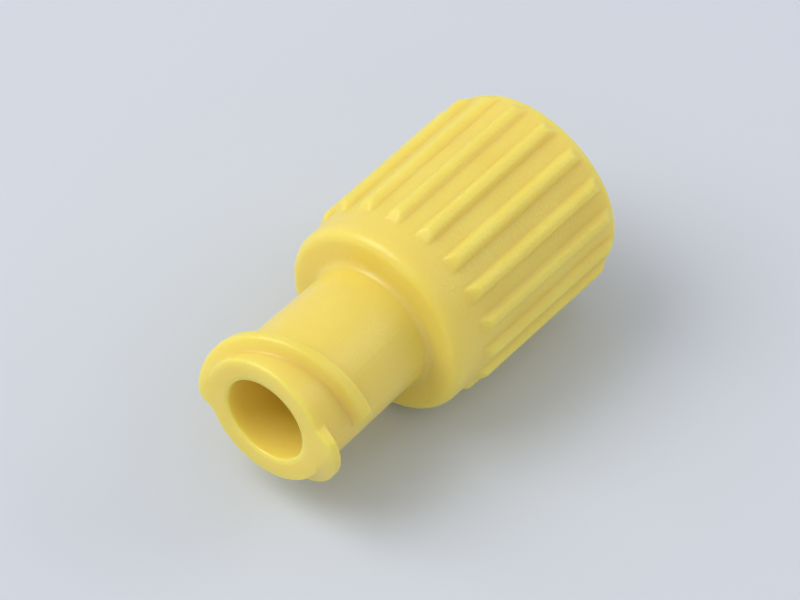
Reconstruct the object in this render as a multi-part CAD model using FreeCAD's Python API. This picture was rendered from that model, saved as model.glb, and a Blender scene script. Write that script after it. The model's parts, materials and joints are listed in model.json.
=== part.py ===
import FreeCAD, Part
import math
import os
from FreeCAD import Vector

# Stopper for both kinds of conical lock fitting, moulded in one piece of soft plastic.
# Millimetres, +Z up. One end is a tube with a tapered socket and two outside thread ridges.
# The other end is a ribbed lock collar with an inside thread round a tapered male cone.
# The stopper is built standing, with its axis along Z, from the socket's mouth at 0 up to the
# collar's rim. Last of all it is laid down on two of its grip ribs, with its axis along +X.

# The two cones
cone_taper = 0.06           # change of diameter for each millimetre of length
socket_mouth_d = 4.29       # inside diameter at the socket's mouth
socket_depth = 8.2          # from the mouth to the closed end
cone_seat = 5.2             # how deep a cone's tip stands in a socket when the two jam
cone_recess = 1.0           # how far the male cone's tip stays below the collar's rim
core_d = 2.0                # blind hole in the tip, which keeps the cone's wall even
core_draft = 1.0            # degrees

# Tube, closed wall and collar
tube_d = 6.6                # outside of the tube at its mouth
tube_draft = 1.0            # degrees, the tube gets narrower towards the collar
closed_wall = 2.0           # plastic between the socket's end and the collar's floor
shoulder_wall = 2.4         # from the shoulder's face to the collar's floor
collar_depth = 9.2          # from the rim to the floor
collar_wall = 0.9           # wall at the rim, between the grip ribs
collar_draft = 0.5          # degrees inside, so that the collar leaves its core

# The lock thread, with the same lead outside the tube and inside the collar
thread_lead = 5.0           # advance in one turn, right-handed
thread_starts = 2
flank_angle = 25.0          # degrees between the side of a ridge and a flat across the axis
crest_width = 0.5           # width of a ridge along its crest
end_slope = 45.0            # degrees at which the ends of a ridge rise from the wall
tube_thread_d = 7.83        # over the ridges on the tube
tube_thread_length = 3.5    # from the mouth
tube_thread_turn = 60.0     # degrees round the axis to where a ridge leaves the mouth
bore_clearance = 0.085      # round such a tube thread, in the collar's bore
crest_clearance = 0.2       # round such a tube, between the crests in the collar
collar_thread_length = 6.2  # from the rim
collar_thread_turn = 90.0   # degrees round the axis to the lower end of a ridge
collar_lead_in = 0.4        # the ridges in the collar start this far below the rim

# Grip ribs round the collar
rib_count = 18
rib_height = 0.35
rib_width = 0.8
rib_ramp = 0.5              # length over which the end of a rib rises
smooth_band = 1.8           # from the shoulder to where the ribs begin
plain_rim = 0.35            # from where the ribs end to the rim

# Edges: bevels on the small ones, roundings on the neck and the shoulder
mouth_bevel = 0.15          # inside and outside the socket's mouth
rim_bevel = 0.2             # inside and outside the collar's rim
tip_bevel = 0.25
floor_bevel = 0.25          # at the closed ends of the hollows
neck_round = 0.4
shoulder_round = 0.5

# Sizes that follow, heights from the socket's mouth and radii from the axis
overlap = 0.15              # how far a ridge or rib reaches into the wall that carries it
floor_z = socket_depth + closed_wall
shoulder_z = floor_z - shoulder_wall
rim_z = floor_z + collar_depth
tip_z = rim_z - cone_recess
mouth_r = socket_mouth_d / 2
tip_r = mouth_r - cone_seat * cone_taper / 2
tube_r = tube_d / 2
neck_r = tube_r - shoulder_z * math.tan(math.radians(tube_draft))
tube_crest_r = tube_thread_d / 2
bore_r = tube_crest_r + bore_clearance
collar_crest_r = tube_r + crest_clearance
collar_r = bore_r + collar_wall
rib_r = collar_r + rib_height
rib_rod_r = (rib_height ** 2 + (rib_width / 2) ** 2) / (2 * rib_height)
rib_rod_centre = rib_r - rib_rod_r
rib_pitch = 360.0 / rib_count
axis_height = rib_rod_centre * math.cos(math.radians(rib_pitch / 2)) + rib_rod_r

up = Vector(0, 0, 1)
origin = Vector(0, 0, 0)


def sharp(radius, height):
    """Corner of an outline, left as it is."""
    return Vector(radius, 0, height), 0, 0


def bevelled(radius, height, size):
    """Corner of an outline, cut off this far along both sides."""
    return Vector(radius, 0, height), size, 0


def rounded(radius, height, rounding):
    """Corner of an outline, rounded with this radius."""
    return Vector(radius, 0, height), 0, rounding


def outline(corners):
    """Closed face in the XZ plane through sharp, bevelled and rounded corners."""
    bends = []
    for i, (here, bevel, rounding) in enumerate(corners):
        back = (corners[i - 1][0] - here).normalize()
        ahead = (corners[(i + 1) % len(corners)][0] - here).normalize()
        half = back.getAngle(ahead) / 2
        reach = bevel + rounding / math.tan(half)
        inward = (back + ahead).normalize() * (rounding / math.sin(half) - rounding)
        bends.append((here + back * reach, here + inward, here + ahead * reach))
    edges = []
    for i, (first, middle, last) in enumerate(bends):
        _, bevel, rounding = corners[i]
        if rounding:
            edges.append(Part.Arc(first, middle, last).toShape())
        elif bevel:
            edges.append(Part.LineSegment(first, last).toShape())
        following = bends[(i + 1) % len(bends)][0]
        edges.append(Part.LineSegment(last, following).toShape())
    return Part.Face(Part.Wire(edges))


def turned(corners):
    """Solid of revolution about Z from the corners of its outline."""
    return outline(corners).revolve(origin, up, 360)


def blank():
    """Tube, shoulder and collar as one turned shape, still without its hollows."""
    return turned([
        sharp(0, 0),
        bevelled(tube_r, 0, mouth_bevel),
        rounded(neck_r, shoulder_z, neck_round),
        rounded(collar_r, shoulder_z, shoulder_round),
        bevelled(collar_r, rim_z, rim_bevel),
        sharp(0, rim_z),
    ])


def socket():
    """Tapered hollow of the socket, wider at its bevelled mouth."""
    end_r = mouth_r - socket_depth * cone_taper / 2
    bevel_r = mouth_r - mouth_bevel * cone_taper / 2
    return turned([
        sharp(0, 0),
        sharp(mouth_r + mouth_bevel, 0),
        sharp(bevel_r, mouth_bevel),
        bevelled(end_r, socket_depth, floor_bevel),
        sharp(0, socket_depth),
    ])


def collar_hollow():
    """Hollow of the collar round the male cone, which is left standing on the floor."""
    floor_r = bore_r - collar_depth * math.tan(math.radians(collar_draft))
    foot_r = tip_r + (tip_z - floor_z) * cone_taper / 2
    return turned([
        bevelled(foot_r, floor_z, floor_bevel),
        bevelled(floor_r, floor_z, floor_bevel),
        sharp(bore_r, rim_z - rim_bevel),
        sharp(bore_r + rim_bevel, rim_z),
        sharp(0, rim_z),
        sharp(0, tip_z),
        bevelled(tip_r, tip_z, tip_bevel),
    ])


def core_hole():
    """Blind hole in the male cone's tip, as deep as the collar."""
    hole_r = core_d / 2
    end_r = hole_r - (tip_z - floor_z) * math.tan(math.radians(core_draft))
    return turned([
        sharp(0, floor_z),
        bevelled(end_r, floor_z, floor_bevel),
        sharp(hole_r, tip_z),
        sharp(0, tip_z),
    ])


def half_width(below_crest):
    """Half of a ridge's width at a place that lies this far below its crest."""
    return crest_width / 2 + below_crest * math.tan(math.radians(flank_angle))


def ridge(foot_r, crest_r, start_z, end_z):
    """Helical ridge with sloping ends, which reaches a little past its foot and its crest."""
    side = math.copysign(1, crest_r - foot_r)
    root_r = foot_r - side * overlap
    top_r = crest_r + side * overlap
    half_root = half_width(abs(crest_r - root_r))
    half_top = half_width(-overlap)
    section = Part.makePolygon([
        Vector(root_r, 0, start_z - half_root),
        Vector(top_r, 0, start_z - half_top),
        Vector(top_r, 0, start_z + half_top),
        Vector(root_r, 0, start_z + half_root),
        Vector(root_r, 0, start_z - half_root),
    ])
    path = Part.makeHelix(thread_lead, end_z - start_z, foot_r)
    path.translate(up * start_z)
    swept = Part.Wire(path.Edges).makePipeShell([section], True, True)
    full_turn = 360.0 * (end_z - start_z) / thread_lead
    size = 4 * half_root
    for ahead, turn, z in ((-1, 0, start_z), (1, full_turn, end_z)):
        block = Part.makeBox(size, size, size, Vector(0, -size / 2, -size / 2))
        block.rotate(origin, up, ahead * (end_slope if side > 0 else 180 - end_slope))
        block.translate(Vector(foot_r, 0, z))
        block.rotate(origin, up, turn)
        swept = swept.cut(block)
    return swept


def all_starts(first, limit, turn):
    """One ridge for each start of the thread, kept inside a turned limit."""
    ridges = []
    for i in range(thread_starts):
        copy = first.copy()
        copy.rotate(origin, up, turn + 360.0 * i / thread_starts)
        ridges.append(copy.common(limit))
    return ridges


def tube_thread():
    """Ridges on the tube. They run out of the mouth's flat face and end on the tube."""
    end_z = tube_thread_length - half_width(tube_crest_r - neck_r)
    limit = turned([
        sharp(0, 0),
        bevelled(tube_crest_r, 0, mouth_bevel),
        sharp(tube_crest_r, tube_thread_length),
        sharp(0, tube_thread_length),
    ])
    return all_starts(ridge(neck_r, tube_crest_r, 0, end_z), limit, tube_thread_turn)


def collar_thread():
    """Ridges inside the collar, cut off at a slope below the rim."""
    height = bore_r - collar_crest_r
    bottom_z = rim_z - collar_thread_length
    top_z = rim_z - collar_lead_in
    outer_r = bore_r + collar_wall / 2
    limit = turned([
        sharp(collar_crest_r, bottom_z),
        sharp(outer_r, bottom_z),
        sharp(outer_r, top_z),
        sharp(bore_r, top_z),
        sharp(collar_crest_r, top_z - height),
    ])
    first = ridge(bore_r, collar_crest_r, bottom_z + half_width(height), top_z + height)
    return all_starts(first, limit, collar_thread_turn)


def grip_ribs():
    """Round rods let into the collar's wall, with both ends sloping down to it."""
    low_z = shoulder_z + smooth_band
    high_z = rim_z - plain_rim
    inner_r = collar_r - overlap
    limit = turned([
        sharp(inner_r, low_z),
        sharp(collar_r, low_z),
        rounded(rib_r, low_z + rib_ramp, rib_ramp / 2),
        rounded(rib_r, high_z - rib_ramp, rib_ramp / 2),
        sharp(collar_r, high_z),
        sharp(inner_r, high_z),
    ])
    ribs = []
    for i in range(rib_count):
        turn = math.radians(rib_pitch * (i + 0.5))
        foot = Vector(rib_rod_centre * math.cos(turn), rib_rod_centre * math.sin(turn), low_z)
        rod = Part.makeCylinder(rib_rod_r, high_z - low_z, foot, up)
        ribs.append(rod.common(limit))
    return ribs


def stopper():
    """The whole closure, standing on its mouth."""
    body = blank().fuse(grip_ribs())
    body = body.cut([socket(), collar_hollow(), core_hole()])
    body = body.fuse(tube_thread() + collar_thread())
    return body.removeSplitter().Solids[0]


part = stopper()
part.rotate(origin, Vector(0, 1, 0), 90)
part.translate(Vector(-rim_z / 2, 0, axis_height))

os.makedirs("parts", exist_ok=True)
part.exportStep("parts/stopper.step")

print("solids", len(part.Solids), "valid", part.isValid(), "faces", len(part.Faces))
box = part.optimalBoundingBox(False, False)
print("x", round(box.XMin, 3), round(box.XMax, 3))
print("y", round(box.YMin, 3), round(box.YMax, 3))
print("z", round(box.ZMin, 3), round(box.ZMax, 3))
print("volume", round(part.Volume, 2), "cubic mm")
print("centre of mass", part.CenterOfMass)
print("ribs carry it from x", round(shoulder_z + smooth_band + rib_ramp - rim_z / 2, 2))
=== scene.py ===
# %% [markdown]
# A combi stopper in soft yellow plastic
#
# The stopper closes both kinds of conical lock fitting. One end is a tube with a tapered
# socket inside and two thread ridges outside. The other end is a ribbed collar with a
# thread inside, and a tapered male cone in its middle.
#
# It is one moulding, so it is one surface here too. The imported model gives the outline's
# size, and this script gives the soft edges, the finish, the light and the camera.

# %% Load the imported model
import json
import math
import bpy
import numpy as np
from mathutils import Matrix, Vector


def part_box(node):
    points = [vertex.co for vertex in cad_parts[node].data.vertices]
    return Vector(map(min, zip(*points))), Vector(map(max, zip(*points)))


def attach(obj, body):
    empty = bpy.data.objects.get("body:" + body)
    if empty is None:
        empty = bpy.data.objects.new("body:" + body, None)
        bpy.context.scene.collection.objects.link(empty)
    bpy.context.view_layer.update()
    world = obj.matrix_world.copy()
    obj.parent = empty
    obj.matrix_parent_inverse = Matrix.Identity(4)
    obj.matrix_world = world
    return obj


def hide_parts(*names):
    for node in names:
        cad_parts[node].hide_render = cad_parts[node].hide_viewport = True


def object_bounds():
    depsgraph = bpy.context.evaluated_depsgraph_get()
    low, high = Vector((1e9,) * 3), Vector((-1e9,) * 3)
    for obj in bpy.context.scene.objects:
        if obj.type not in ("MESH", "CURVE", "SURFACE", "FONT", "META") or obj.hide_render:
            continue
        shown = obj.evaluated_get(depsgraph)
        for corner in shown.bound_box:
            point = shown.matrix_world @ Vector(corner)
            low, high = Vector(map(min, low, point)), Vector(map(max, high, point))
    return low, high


mm = 0.001
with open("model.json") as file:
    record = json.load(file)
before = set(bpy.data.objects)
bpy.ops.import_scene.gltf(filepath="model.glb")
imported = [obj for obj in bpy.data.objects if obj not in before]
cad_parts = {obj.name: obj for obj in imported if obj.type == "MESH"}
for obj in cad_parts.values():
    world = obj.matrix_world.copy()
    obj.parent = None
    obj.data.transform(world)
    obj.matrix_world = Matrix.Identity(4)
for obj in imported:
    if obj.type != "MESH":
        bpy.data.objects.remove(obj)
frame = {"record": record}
cad_low, cad_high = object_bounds()
print("packed model, millimetres:", [round(side / mm, 2) for side in cad_high - cad_low])

# %% [markdown]
# Sizes
#
# A moulding is drawn in millimetres, and Blender works in metres. Lengths are written in
# millimetres here and turned into metres at the very end. They could be measured on the
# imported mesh, but a named size says what it is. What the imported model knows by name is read
# from it: its box gives the length and the radius over the ribs, and its record gives the
# two cones and the two threads. The rest are the stopper's own driving sizes.

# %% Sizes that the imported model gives
low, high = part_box("stopper")
length = (high.x - low.x) / mm
rib_r = (high.y - low.y) / 2 / mm

mounts = {mount["name"]: mount for mount in frame["record"]["mounts"]}
fits = {name: mount["dims"] for name, mount in mounts.items()}
axis_height = mounts["socket"]["pos_m"][2] / mm
mouth_r = fits["socket"]["r_mm"]
socket_depth = fits["socket"]["length_mm"]
tube_crest_r = fits["tube_thread"]["r_mm"]
tube_thread_length = fits["tube_thread"]["length_mm"]
tip_r = fits["male_cone"]["r_mm"]
cone_length = fits["male_cone"]["length_mm"]
bore_r = fits["collar_thread"]["r_mm"]
collar_thread_length = fits["collar_thread"]["length_mm"]
print("length", round(length, 2), "over the ribs", round(2 * rib_r, 2))

# %% Sizes of the moulding
cone_taper = 0.06           # change of diameter for each millimetre of length
cone_recess = 1.0           # from the collar's rim down to the cone's tip
hole_r = 1.0                # blind hole in the tip
hole_draft = math.radians(1.0)
tube_r = 3.3                # outside of the tube at its mouth
tube_draft = math.radians(1.0)
shoulder_wall = 2.4         # from the shoulder to the collar's floor
collar_draft = math.radians(0.5)
rib_count = 18
rib_height = 0.35
rib_width = 0.8
rib_ramp = 0.5              # length over which the end of a rib rises
smooth_band = 1.8           # from the shoulder to the ribs
plain_rim = 0.35            # from the ribs to the rim

tip_h = length - cone_recess
floor_h = tip_h - cone_length
shoulder_h = floor_h - shoulder_wall
collar_r = rib_r - rib_height
neck_r = tube_r - shoulder_h * math.tan(tube_draft)
socket_end_r = mouth_r - socket_depth * cone_taper / 2
floor_r = bore_r - (length - floor_h) * math.tan(collar_draft)
foot_r = tip_r + cone_length * cone_taper / 2
hole_end_r = hole_r - cone_length * math.tan(hole_draft)
print("shoulder at", round(shoulder_h, 2), "floor of the collar at", round(floor_h, 2))

# %% Sizes of the two threads
thread_lead = 5.0           # advance in one turn, right-handed
thread_starts = 2
flank = math.tan(math.radians(25))
crest_width = 0.5
tube_thread_turn = math.radians(60)     # where a ridge leaves the mouth
collar_thread_turn = math.radians(90)   # where a ridge begins inside the collar
crest_clearance = 0.2       # round the tube, between the crests in the collar
collar_lead_in = 0.4        # from the rim to the ridges in the collar
collar_crest_r = tube_r + crest_clearance
print("ridges stand", round(tube_crest_r - neck_r, 2), "out of the neck and",
      round(bore_r - collar_crest_r, 2), "out of the collar's wall")

# %% [markdown]
# The outline
#
# Nearly all of the stopper is turned: a closed outline goes once round the axis. The
# outline runs from the middle of the socket's floor, up the socket, over the mouth, along
# the tube, over the shoulder and the collar to the rim, down inside, up the male cone and
# down into the hole in its tip.
#
# A screw modifier could turn it, but ribs and ridges need rows of points that are close
# together in some places only. So the outline is computed as an array of rows. A real mould
# has a small radius in each corner, and soft plastic makes it rounder still. That is what
# catches the light, so each corner is an arc.

# %% Roundings and spacings
mouth_round = 0.15
neck_round = 0.4
shoulder_round = 0.5
rim_round = 0.2
hollow_round = 0.25         # at the foot of both hollows and at the tip
hole_round = 0.08           # at the edge of the hole in the tip

thread_rows = 0.075         # spacing of rows where there are ridges on the tube
bore_rows = 0.085           # and in the collar
ramp_rows = 0.08            # and where the ribs begin and end
face_rows = 0.3             # and across faces
wall_rows = 0.7             # and along plain walls
arc_rows = 0.1              # and on arcs
fewest_steps = 4            # from one end of an arc to the other
margin = 0.1                # how far close rows reach past what they are for
print("arcs have", fewest_steps, "rows or more, about", arc_rows, "apart")

# %% Corners of the outline
rib_low = shoulder_h + smooth_band
rib_high = length - plain_rim
ramp_reach = rib_ramp + 2 * margin
neck_start = tube_thread_length + margin
neck_start_r = tube_r - neck_start * math.tan(tube_draft)
thread_low = length - collar_thread_length
plain_bore = thread_low - margin
plain_bore_r = bore_r - (length - plain_bore) * math.tan(collar_draft)

# Height from the socket's mouth, radius, rounding, and spacing of the rows that follow.
corners = [
    ("socket_floor", socket_depth, 0.0, 0.0, wall_rows),
    ("socket", socket_depth, socket_end_r, hollow_round, wall_rows),
    ("mouth", 0.0, mouth_r, mouth_round, face_rows),
    ("tube", 0.0, tube_r, mouth_round, thread_rows),
    ("neck", neck_start, neck_start_r, 0.0, wall_rows),
    ("shoulder", shoulder_h, neck_r, neck_round, face_rows),
    ("collar", shoulder_h, collar_r, shoulder_round, face_rows),
    ("rib_start", rib_low - margin, collar_r, 0.0, ramp_rows),
    ("ribs", rib_low + ramp_reach, collar_r, 0.0, wall_rows),
    ("rib_end", rib_high - ramp_reach, collar_r, 0.0, ramp_rows),
    ("rim", length, collar_r, rim_round, face_rows),
    ("bore", length, bore_r, rim_round, bore_rows),
    ("plain_bore", plain_bore, plain_bore_r, 0.0, wall_rows),
    ("collar_floor", floor_h, floor_r, hollow_round, face_rows),
    ("cone", floor_h, foot_r, hollow_round, wall_rows),
    ("tip", tip_h, tip_r, hollow_round, face_rows),
    ("hole", tip_h, hole_r, hole_round, wall_rows),
    ("hole_floor", floor_h, hole_end_r, hollow_round, face_rows),
    ("end", floor_h, 0.0, 0.0, wall_rows),
]
number = {corner[0]: i for i, corner in enumerate(corners)}
print(len(corners), "corners, of which", sum(corner[3] > 0 for corner in corners), "are round")


# %% Rows of the outline
def straight_run(start, end, spacing):
    """Points after the start and up to the end, and each one's share of the way.

    A point lies at start + share * (end - start), and the shares are evenly spaced.
    """
    steps = max(1, round(np.linalg.norm(end - start) / spacing))
    share = np.arange(1, steps + 1)[:, None] / steps
    return start + share * (end - start), share


def corner_arc(before, here, after, rounding):
    """Where the arc that rounds off a corner starts, and the points that follow on it.

    With half the angle between the two runs called h, the arc starts rounding / tan h
    before the corner, and its centre lies rounding / sin h from it, on the line that
    halves the angle.
    """
    back = (before - here) / np.linalg.norm(before - here)
    ahead = (after - here) / np.linalg.norm(after - here)
    half = math.acos(back @ ahead) / 2
    begin = here + back * rounding / math.tan(half)
    halving = (back + ahead) / np.linalg.norm(back + ahead)
    middle = here + halving * rounding / math.sin(half)
    across = (begin - middle) / rounding
    turn = math.pi - 2 * half
    steps = max(fewest_steps, round(turn * rounding / arc_rows))
    angle = turn * np.arange(1, steps + 1)[:, None] / steps
    return begin, middle + rounding * (np.cos(angle) * across - np.sin(angle) * back)


def rounded_outline(corners):
    """Rows of the outline as height, radius and place along it. The place is a corner's
    number on its arc, and grows by 1 along the run that follows."""
    points = np.array([corner[1:3] for corner in corners])
    last = points[0]
    path = [[[*last, 0.0]]]
    for i in range(1, len(corners)):
        rounding, spacing = corners[i][3], corners[i - 1][4]
        end, arc = points[i], np.empty((0, 2))
        if rounding:
            end, arc = corner_arc(*points[i - 1:i + 2], rounding)
        run, share = straight_run(last, end, spacing)
        path.append(np.column_stack([run, i - 1 + share]))
        path.append(np.column_stack([arc, np.full(len(arc), i)]))
        last = arc[-1] if len(arc) else end
    return np.vstack(path).T


height, radius, place = rounded_outline(corners)
print(len(height), "rows in the outline")

# %% [markdown]
# Ribs, ridges and parting lines
#
# Three things are not turned. Ribs round the collar give the fingers a hold, two ridges
# wind round the tube and two more inside the collar as a thread with two starts, and the
# two halves of the mould leave a fine line on each side. Each is a change of the radius
# that depends on the angle and the height, so each is a function of two parameters.
# Boolean operations would give the same forms, but with sharp edges and a mesh that shades
# badly.
#
# Where two surfaces meet, the larger radius wins on a raised form. A blend in place of the
# plain maximum leaves a small fillet there, as the cutter of a real mould does.

# %% Blends
def larger(a, b, blend):
    """The larger of two radii. Where they are closer than the blend, it adds a fillet:
    a quarter of the blend times the square of 1 - distance / blend."""
    near = np.clip(1 - np.abs(a - b) / blend, 0, 1)
    return np.maximum(a, b) + blend / 4 * near ** 2


def smaller(a, b, blend):
    """The smaller of two radii, with the same fillet taken off."""
    return -larger(-a, -b, blend)


rib_blend = 0.1             # on the grip ribs
ridge_blend = 0.12          # on the ridges of both threads
print("a fillet adds up to", rib_blend / 4, "on a rib and", ridge_blend / 4, "on a ridge")


# %% Grip ribs
def rib_radius(angle, height):
    """Radius to round rods let into the collar.

    A rod of radius R with its axis at distance c is met at c cos t + sqrt(R^2 - (c sin t)^2),
    with t the angle from the rod. Its ends are cut by a slope that climbs the rib's height
    over the ramp's length.
    """
    rod_r = (rib_height ** 2 + (rib_width / 2) ** 2) / (2 * rib_height)
    centre = rib_r - rod_r
    pitch = 2 * math.pi / rib_count
    t = angle % pitch - pitch / 2
    chord = np.sqrt(np.maximum(rod_r ** 2 - (centre * np.sin(t)) ** 2, 0))
    rod = np.where(chord > 0, centre * np.cos(t) + chord, 0)
    slope = collar_r + rib_height / rib_ramp * np.minimum(height - rib_low, rib_high - height)
    return smaller(rod, slope, rib_blend)


crest = float(rib_radius(math.pi / rib_count, (rib_low + rib_high) / 2))
print("a rib's crest is at radius", round(crest, 3), "and the wall at", round(collar_r, 3))


# %% Run and section of a ridge
def half_width(below_crest):
    """Half of a ridge's width this far below its crest: half the width of the crest, and
    the depth times the flank's slope."""
    return crest_width / 2 + below_crest * flank


def nearest_ridge(angle, height, turn):
    """Distance along the axis to the middle of the nearest ridge, and that middle's height.

    A ridge climbs one lead in each full turn, so it stands at lead * (angle - turn) / 2 pi.
    The next start lies a pitch above it, which is the lead shared between the starts. What
    is left of the height after whole pitches is the distance.
    """
    pitch = thread_lead / thread_starts
    climbed = height - thread_lead * (angle - turn) / (2 * math.pi)
    offset = (climbed + pitch / 2) % pitch - pitch / 2
    return np.abs(offset), height - offset


print("a ridge on the tube is", round(2 * half_width(tube_crest_r - neck_r), 2), "wide at its foot")


# %% Ridges on the tube
def tube_ridge_radius(angle, height):
    """Radius to the ridges outside the tube: a flat crest, two flanks that fall by the
    distance past the crest divided by their slope, and ends that climb 1 for each 1 of path
    from the mouth and from where the thread ends."""
    offset, middle = nearest_ridge(angle, height, tube_thread_turn)
    flanks = tube_crest_r - (offset - crest_width / 2) / flank
    end_h = tube_thread_length - half_width(tube_crest_r - neck_r)
    path = np.minimum(middle, end_h - middle) * 2 * math.pi * neck_r / thread_lead
    crest = smaller(tube_crest_r, neck_r + path, ridge_blend)
    return smaller(crest, flanks, ridge_blend)


full_r = float(tube_ridge_radius(tube_thread_turn + math.pi, thread_lead / 2))
print("half a turn from the mouth, a ridge is at radius", round(full_r, 3))


# %% Ridges in the collar
def collar_ridge_radius(angle, height):
    """Radius to the ridges inside the collar: the same section turned inwards, with a
    sloping lower end, and cut off by a cone of 45 degrees below the rim."""
    ridge_height = bore_r - collar_crest_r
    offset, middle = nearest_ridge(angle, height - thread_low - half_width(ridge_height),
                                   collar_thread_turn)
    flanks = collar_crest_r + (offset - crest_width / 2) / flank
    path = middle * 2 * math.pi * bore_r / thread_lead
    cone = collar_crest_r + height - (length - collar_lead_in - ridge_height)
    crest = larger(collar_crest_r, bore_r - path, ridge_blend)
    return larger(larger(crest, flanks, ridge_blend), cone, ridge_blend)


behind = float(collar_ridge_radius(0.0, length)) - bore_r
print("at the rim, the ridges are cut back to", round(behind, 2), "behind the wall")

# %% Parting lines
seam_height = 0.025
seam_width = 0.05
seam_angle = math.pi / 2


def seam_push(angle, radius):
    """Height of the two fine lines that the halves of the mould leave, one on each side.
    It falls off as exp(-(distance / width)^2), with the distance measured round the wall."""
    turn = (angle - seam_angle + math.pi / 2) % math.pi - math.pi / 2
    return seam_height * np.exp(-(turn * radius / seam_width) ** 2)


print("parting lines stand", float(seam_push(seam_angle, collar_r)), "out of the collar")

# %% [markdown]
# One closed surface
#
# The outside and the two hollows could be meshes of their own, but their edges would have
# to be sewn up. One grid that ends in a point at both ends is closed as it is. It has one
# row for each point of the outline and one column for each step of angle, with a whole
# number of columns for each rib, so that all ribs come out alike. The ridges on the tube
# run out of the mouth's flat face, so that face is stretched outwards with them.

# %% Radius over the grid
rib_columns = 20
columns = rib_count * rib_columns
angle = 2 * math.pi * np.arange(columns) / columns
a, h = np.meshgrid(angle, height)
grid_r = np.repeat(radius[:, None], columns, axis=1)

tube_wall = tube_r - h * math.tan(tube_draft)
push = larger(tube_wall, tube_ridge_radius(a, h), ridge_blend) - tube_wall
share = np.clip(place - number["mouth"], 0, 1) * (place <= number["shoulder"])
grid_r += share[:, None] * push

on_collar = (place >= number["collar"]) & (place < number["rim"])
with_ribs = larger(grid_r, rib_radius(a, h), rib_blend)
grid_r[on_collar] = with_ribs[on_collar]

outside = (place > number["tube"]) & (place < number["rim"])
grid_r[outside] += seam_push(a, grid_r)[outside]

in_collar = (place >= number["bore"]) & (place < number["collar_floor"])
bore_wall = bore_r - (length - h) * math.tan(collar_draft)
pull = bore_wall - smaller(bore_wall, collar_ridge_radius(a, h), ridge_blend)
grid_r[in_collar] -= pull[in_collar]
print("widest", round(2 * grid_r.max(), 3), "over the tube's ridges",
      round(2 * grid_r[place <= number["shoulder"]].max(), 3))


# %% Mesh
def closed_mesh(name, angle, height, radius):
    """Mesh of a surface round the X axis whose first and last rows are single points.

    A point at angle a, height h and radius r lies at x = h - length / 2, y = r sin a and
    z = axis height - r cos a. Each face goes round the angle first and along the outline
    second, so that it points away from the plastic.
    """
    middle = slice(1, -1)
    x = np.repeat(height[middle, None] - length / 2, len(angle), axis=1)
    y = radius[middle] * np.sin(angle)
    z = axis_height - radius[middle] * np.cos(angle)
    around = np.stack([x, y, z], axis=-1).reshape(-1, 3)
    poles = [[height[0] - length / 2, 0, axis_height], [height[-1] - length / 2, 0, axis_height]]
    points = np.vstack([around, poles]) * mm

    rows = len(height) - 2
    ids = np.arange(rows * len(angle)).reshape(rows, -1)
    beside = np.roll(ids, -1, axis=1)
    quads = np.stack([ids[:-1], beside[:-1], beside[1:], ids[1:]], axis=-1).reshape(-1, 4)
    first = np.full(len(angle), rows * len(angle))
    start_fan = np.stack([first, beside[0], ids[0]], axis=-1)
    end_fan = np.stack([first + 1, ids[-1], beside[-1]], axis=-1)
    mesh = bpy.data.meshes.new(name)
    mesh.from_pydata(points.tolist(), [], quads.tolist() + start_fan.tolist() + end_fan.tolist())
    mesh.shade_smooth()
    return mesh


mesh = closed_mesh("stopper_surface", angle, height, grid_r)
stopper = bpy.data.objects.new("moulded_stopper", mesh)
bpy.context.scene.collection.objects.link(stopper)
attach(stopper, "root")
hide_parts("stopper")
print(stopper.name, "has", len(mesh.vertices), "points and", len(mesh.polygons), "faces")


# %% Volume
def enclosed_volume(mesh):
    """Volume inside a closed mesh, as the sum over its triangles of a . (b x c) / 6. It is
    above zero only if the faces point outwards."""
    mesh.calc_loop_triangles()
    points = np.zeros(3 * len(mesh.vertices))
    mesh.vertices.foreach_get("co", points)
    ids = np.zeros(3 * len(mesh.loop_triangles), int)
    mesh.loop_triangles.foreach_get("vertices", ids)
    a, b, c = points.reshape(-1, 3)[ids.reshape(-1, 3)].transpose(1, 0, 2)
    return (a * np.cross(b, c)).sum() / 6


print("volume, cubic millimetres:", round(enclosed_volume(mesh) / mm ** 3, 1),
      "in", len(mesh.loop_triangles), "triangles")

# %% [markdown]
# Shader maths
#
# A material is a graph of nodes. Adding and linking each node takes a few lines for every
# sum, and the sum is lost in them. So one small class wraps a node's output, and its
# operators add the Math nodes, and a sum in the graph reads as a sum in the script.

# %% Signals
class Signal:
    """Output of a node. Operators on it add Math nodes, and node() adds any other."""

    def __init__(self, tree, socket=None):
        self.tree = tree
        self.socket = socket

    def node(self, kind, settings=None, inputs=None, output=0):
        """A new node: its settings first, then a value or a signal for each socket."""
        new = self.tree.nodes.new(kind)
        for name, value in (settings or {}).items():
            setattr(new, name, value)
        for name, value in (inputs or {}).items():
            if isinstance(value, Signal):
                self.tree.links.new(value.socket, new.inputs[name])
            else:
                new.inputs[name].default_value = value
        return Signal(self.tree, new.outputs[output]) if len(new.outputs) else None

    def maths(self, operation, first, second):
        """A Math node that works out this operation on two signals or numbers."""
        return self.node("ShaderNodeMath", {"operation": operation}, {0: first, 1: second})

    def __add__(self, other):
        return self.maths("ADD", self, other)

    def __sub__(self, other):
        return self.maths("SUBTRACT", self, other)

    def __rsub__(self, other):
        return self.maths("SUBTRACT", other, self)

    def __mul__(self, other):
        return self.maths("MULTIPLY", self, other)

    def __pow__(self, other):
        return self.maths("POWER", self, other)

    __radd__ = __add__
    __rmul__ = __mul__


def part_of(signal, name):
    """Another output of the node that a signal comes from."""
    return Signal(signal.tree, signal.socket.node.outputs[name])


print("signals can be added, subtracted, multiplied and raised to a power")


# %% Empty material
def new_material(name):
    """An empty material, and a signal to start its nodes from."""
    material = bpy.data.materials.new(name)
    material.use_nodes = True
    material.node_tree.nodes.clear()
    return material, Signal(material.node_tree)


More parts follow.
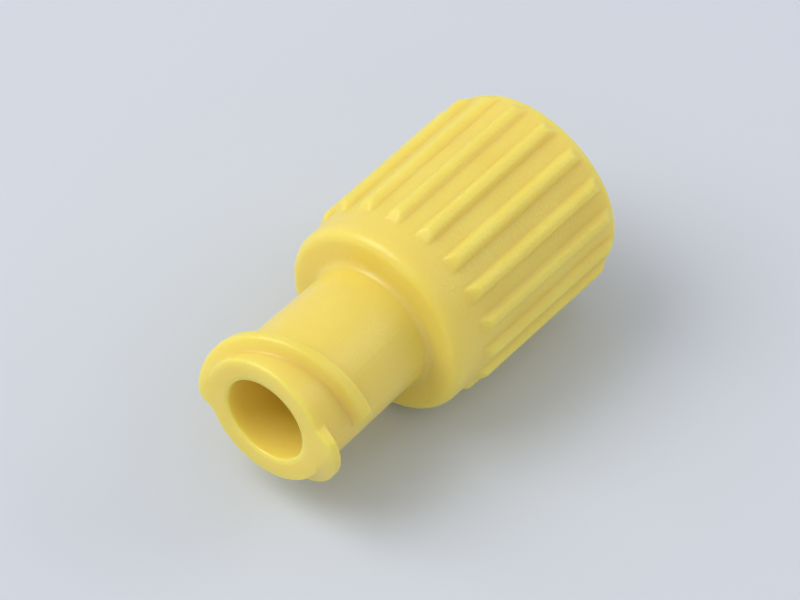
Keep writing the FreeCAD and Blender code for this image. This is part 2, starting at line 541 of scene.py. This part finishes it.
plastic, start = new_material("yellow_polyethylene")
print("material", plastic.name, "with", len(plastic.node_tree.nodes), "nodes")

# %% [markdown]
# Yellow plastic
#
# Soft polyethylene is not a painted yellow. Light goes in, spreads a millimetre or so and
# comes out again, so thin walls glow and shaded sides stay warm. A coat of plain colour
# would look hard and dry. Subsurface scattering does what the plastic does, with red light
# going furthest.
#
# The two sealing cones come from polished steel, so they are smooth and shiny. The rest of
# the mould is spark-eroded, which leaves a fine grain, deeper on the collar where fingers
# grip. Pushing the part out drags faint lines along it, and the crests of the ribs are
# rubbed a little smoother by their neighbours in the bin. All of these patterns read the
# object's own coordinates, so they stay on it from every side.

# %% Places on the stopper, as masks
fade = 0.1                  # width over which one finish turns into another
where = start.node("ShaderNodeTexCoord", output="Object")


def rising(value, begin, width):
    """A mask that rises smoothly from 0 to 1 over a width, both in millimetres."""
    return start.node("ShaderNodeMapRange", {"interpolation_type": "SMOOTHSTEP"},
                      {"Value": value, "From Min": begin * mm, "From Max": (begin + width) * mm})


split = start.node("ShaderNodeSeparateXYZ", None, {"Vector": where})
from_mouth = part_of(split, "X") + length / 2 * mm
side = part_of(split, "Y")
lift = part_of(split, "Z") - axis_height * mm
from_axis = (side * side + lift * lift) ** 0.5

cone = 1 - rising(from_axis, foot_r + fade / 2, fade)
past_shoulder = rising(from_mouth, shoulder_h + shoulder_round, 4 * fade)
grip = rising(from_axis, collar_r - 2 * fade, fade) * past_shoulder
rubbed = rising(from_axis, rib_r - fade, fade)
print("masks take", len(plastic.node_tree.nodes), "nodes")

# %% Patterns
cloud_spots, cloud_detail = 320, 2      # spots for each metre, and layers of finer ones
grain_spots, grain_detail = 5600, 3
drag_spots, drag_detail = 5200, 2
drag_stretch = 0.06         # the drag lines are long along the axis


def noise(spots, detail, position=where):
    """Soft noise between 0 and 1, with this many spots for each metre."""
    return start.node("ShaderNodeTexNoise", None,
                      {"Vector": position, "Scale": spots, "Detail": detail})


along = start.node("ShaderNodeMapping", None,
                   {"Vector": where, "Scale": (drag_stretch, 1.0, 1.0)})
cloud = noise(cloud_spots, cloud_detail)
grain = noise(grain_spots, grain_detail)
drag = noise(drag_spots, drag_detail, along)
print("one spot of grain is", round(1 / grain_spots / mm, 2), "millimetres wide")

# %% Colour, relief and roughness
deep, pale = (0.85, 0.66, 0.102, 1), (0.92, 0.757, 0.17, 1)
mix_share, mix_first, mix_second = 0, 6, 7      # where a Mix node takes two colours
mix_result = 2              # and where it gives the mixed one
plain_grain = 0.35          # depth of the grain outside the grip, as a share
drag_depth = 0.5            # depth of the drag lines, as a share of the grain
polish = 0.9                # share of both that is missing on the cones
satin = 0.25                # roughness where nothing changes it
change = 0.1                # how far each finish changes it

colour = start.node("ShaderNodeMix", {"data_type": "RGBA"},
                    {mix_first: deep, mix_second: pale, mix_share: cloud}, mix_result)
relief = grain * (plain_grain + (1 - plain_grain) * grip) + drag_depth * drag
relief = relief * (1 - polish * cone)
roughness = satin + change * (cloud + grip - rubbed - cone)
print("patterns take", len(plastic.node_tree.nodes), "nodes with the masks")

# %% Material
relief_depth = 0.055
relief_strength = 0.8
refraction = 1.5
spread = (1.0, 0.84, 0.27)  # how far red, green and blue light go in the plastic
spread_unit = 1.0

surface = start.node("ShaderNodeBump", None, {
    "Strength": relief_strength, "Distance": relief_depth * mm, "Height": relief})
shader = start.node("ShaderNodeBsdfPrincipled", {"subsurface_method": "RANDOM_WALK"}, {
    "Base Color": colour,
    "Roughness": roughness,
    "IOR": refraction,
    "Subsurface Weight": 1.0,
    "Subsurface Radius": spread,
    "Subsurface Scale": spread_unit * mm,
    "Normal": surface,
})
start.node("ShaderNodeOutputMaterial", None, {"Surface": shader})
mesh.materials.append(plastic)
print("material", plastic.name, "with", len(plastic.node_tree.nodes), "nodes")

# %% [markdown]
# Floor and light
#
# The stopper lies on a pale cool floor, in soft daylight from the upper left. A small lamp
# would cast hard shadows. So a broad lamp gives that side, a weaker one opens the shadow,
# and an even sky does the rest. Their sum is set so that a colour renders about as it is
# written. The sky that the camera and reflections see has the floor's colour, so that the
# floor has no visible end.

# %% Floor
floor_colour = (0.65, 0.685, 0.75, 1)
floor_roughness = 0.8
floor_gloss = 0.2


def disc_mesh(name, reach, rings, spokes):
    """Flat disc on the ground: x = r cos a, y = r sin a, with r growing from 0 to the reach."""
    r = reach * np.linspace(0, 1, rings + 1)[1:, None]
    spoke = 2 * math.pi * np.arange(spokes) / spokes
    flat = np.zeros((rings, spokes))
    around = np.stack([r * np.cos(spoke), r * np.sin(spoke), flat], axis=-1)
    points = np.vstack([around.reshape(-1, 3), [[0, 0, 0]]]) * mm
    ids = np.arange(rings * spokes).reshape(rings, spokes)
    beside = np.roll(ids, -1, axis=1)
    quads = np.stack([ids[:-1], ids[1:], beside[1:], beside[:-1]], axis=-1).reshape(-1, 4)
    fan = np.stack([np.full(spokes, rings * spokes), ids[0], beside[0]], axis=-1)
    mesh = bpy.data.meshes.new(name)
    mesh.from_pydata(points.tolist(), [], quads.tolist() + fan.tolist())
    return mesh


ground = disc_mesh("floor_surface", reach=3000.0, rings=4, spokes=96)
floor = bpy.data.objects.new("pale_floor", ground)
bpy.context.scene.collection.objects.link(floor)
paper, start_floor = new_material("pale_floor")
matt = start_floor.node("ShaderNodeBsdfPrincipled", None, {
    "Base Color": floor_colour,
    "Roughness": floor_roughness,
    "Specular IOR Level": floor_gloss,
})
start_floor.node("ShaderNodeOutputMaterial", None, {"Surface": matt})
ground.materials.append(paper)
print("floor of", len(ground.polygons), "faces")

# %% Sky
sky_colour = (0.97, 0.98, 1.0, 1)
sky_strength = 0.55
as_written = 1.0            # strength at which the backdrop shows the colour itself

world = bpy.data.worlds.new("even_sky")
bpy.context.scene.world = world
world.use_nodes = True
world.node_tree.nodes.clear()
sky = Signal(world.node_tree)
seen = sky.node("ShaderNodeLightPath", output="Is Camera Ray")
seen = seen + part_of(seen, "Is Glossy Ray") + part_of(seen, "Is Transmission Ray")
light = sky.node("ShaderNodeBackground", None, {"Color": sky_colour, "Strength": sky_strength})
backdrop = sky.node("ShaderNodeBackground", None,
                    {"Color": floor_colour, "Strength": as_written})
both = sky.node("ShaderNodeMixShader", None, {0: seen, 1: light, 2: backdrop})
sky.node("ShaderNodeOutputWorld", None, {"Surface": both})
print("sky with", len(world.node_tree.nodes), "nodes")

# %% [markdown]
# Camera
#
# The photograph was solved for its camera. The view meets the stopper from the socket's
# side at 48.6 degrees above the floor, and its axis climbs to the upper right. A camera
# could be turned by hand until the picture looks right. Worked out from these angles, it
# shows where each one comes from. It stands at the real distance, and a long lens brings
# the small part up to fill the frame.

# %% Camera
view_azimuth = math.radians(304.5)
view_elevation = math.radians(48.6)
axis_in_picture = math.radians(41.6)    # between the stopper's axis and the horizontal
camera_distance = 373.0
lens_mm = 370.0
nearest, furthest = 10.0, 20000.0       # what the camera sees lies between these

centre = (cad_low + cad_high) / 2
look = Vector((-math.sin(view_azimuth) * math.cos(view_elevation),
               math.cos(view_azimuth) * math.cos(view_elevation),
               -math.sin(view_elevation)))
axis = Vector((1, 0, 0))
seen_axis = (axis - axis.dot(look) * look).normalized()
right = Matrix.Rotation(axis_in_picture, 3, look) @ seen_axis
upward = right.cross(look)
facing = Matrix((right, upward, -look)).transposed()

camera_data = bpy.data.cameras.new("camera")
camera_data.lens = lens_mm
camera_data.clip_start = nearest * mm
camera_data.clip_end = furthest * mm
camera = bpy.data.objects.new("camera", camera_data)
camera.matrix_world = Matrix.Translation(centre - look * camera_distance * mm) @ facing.to_4x4()
bpy.context.scene.collection.objects.link(camera)
bpy.context.scene.camera = camera
print("camera, millimetres:", [round(reach / mm, 1) for reach in camera.location])


# %% Lamps
def soft_lamp(name, azimuth, elevation, distance, width, power):
    """Square lamp that faces the stopper from this side, in degrees and millimetres."""
    turn, lift = math.radians(azimuth), math.radians(elevation)
    toward = Vector((math.cos(turn) * math.cos(lift), math.sin(turn) * math.cos(lift),
                     math.sin(lift)))
    lamp_data = bpy.data.lights.new(name, "AREA")
    lamp_data.shape = "SQUARE"
    lamp_data.size = width * mm
    lamp_data.energy = power
    lamp = bpy.data.objects.new(name, lamp_data)
    lamp.location = centre + toward * distance * mm
    lamp.rotation_euler = toward.to_track_quat("Z", "Y").to_euler()
    bpy.context.scene.collection.objects.link(lamp)
    print(name, "of", power, "watts")


soft_lamp("window", azimuth=130, elevation=50, distance=500, width=350, power=1.45)
soft_lamp("reflector", azimuth=330, elevation=30, distance=500, width=300, power=0.38)

# %% [markdown]
# Last lines
#
# The last line sets the view transform to Standard.

# %% View transform
bpy.context.scene.view_settings.view_transform = "Standard"
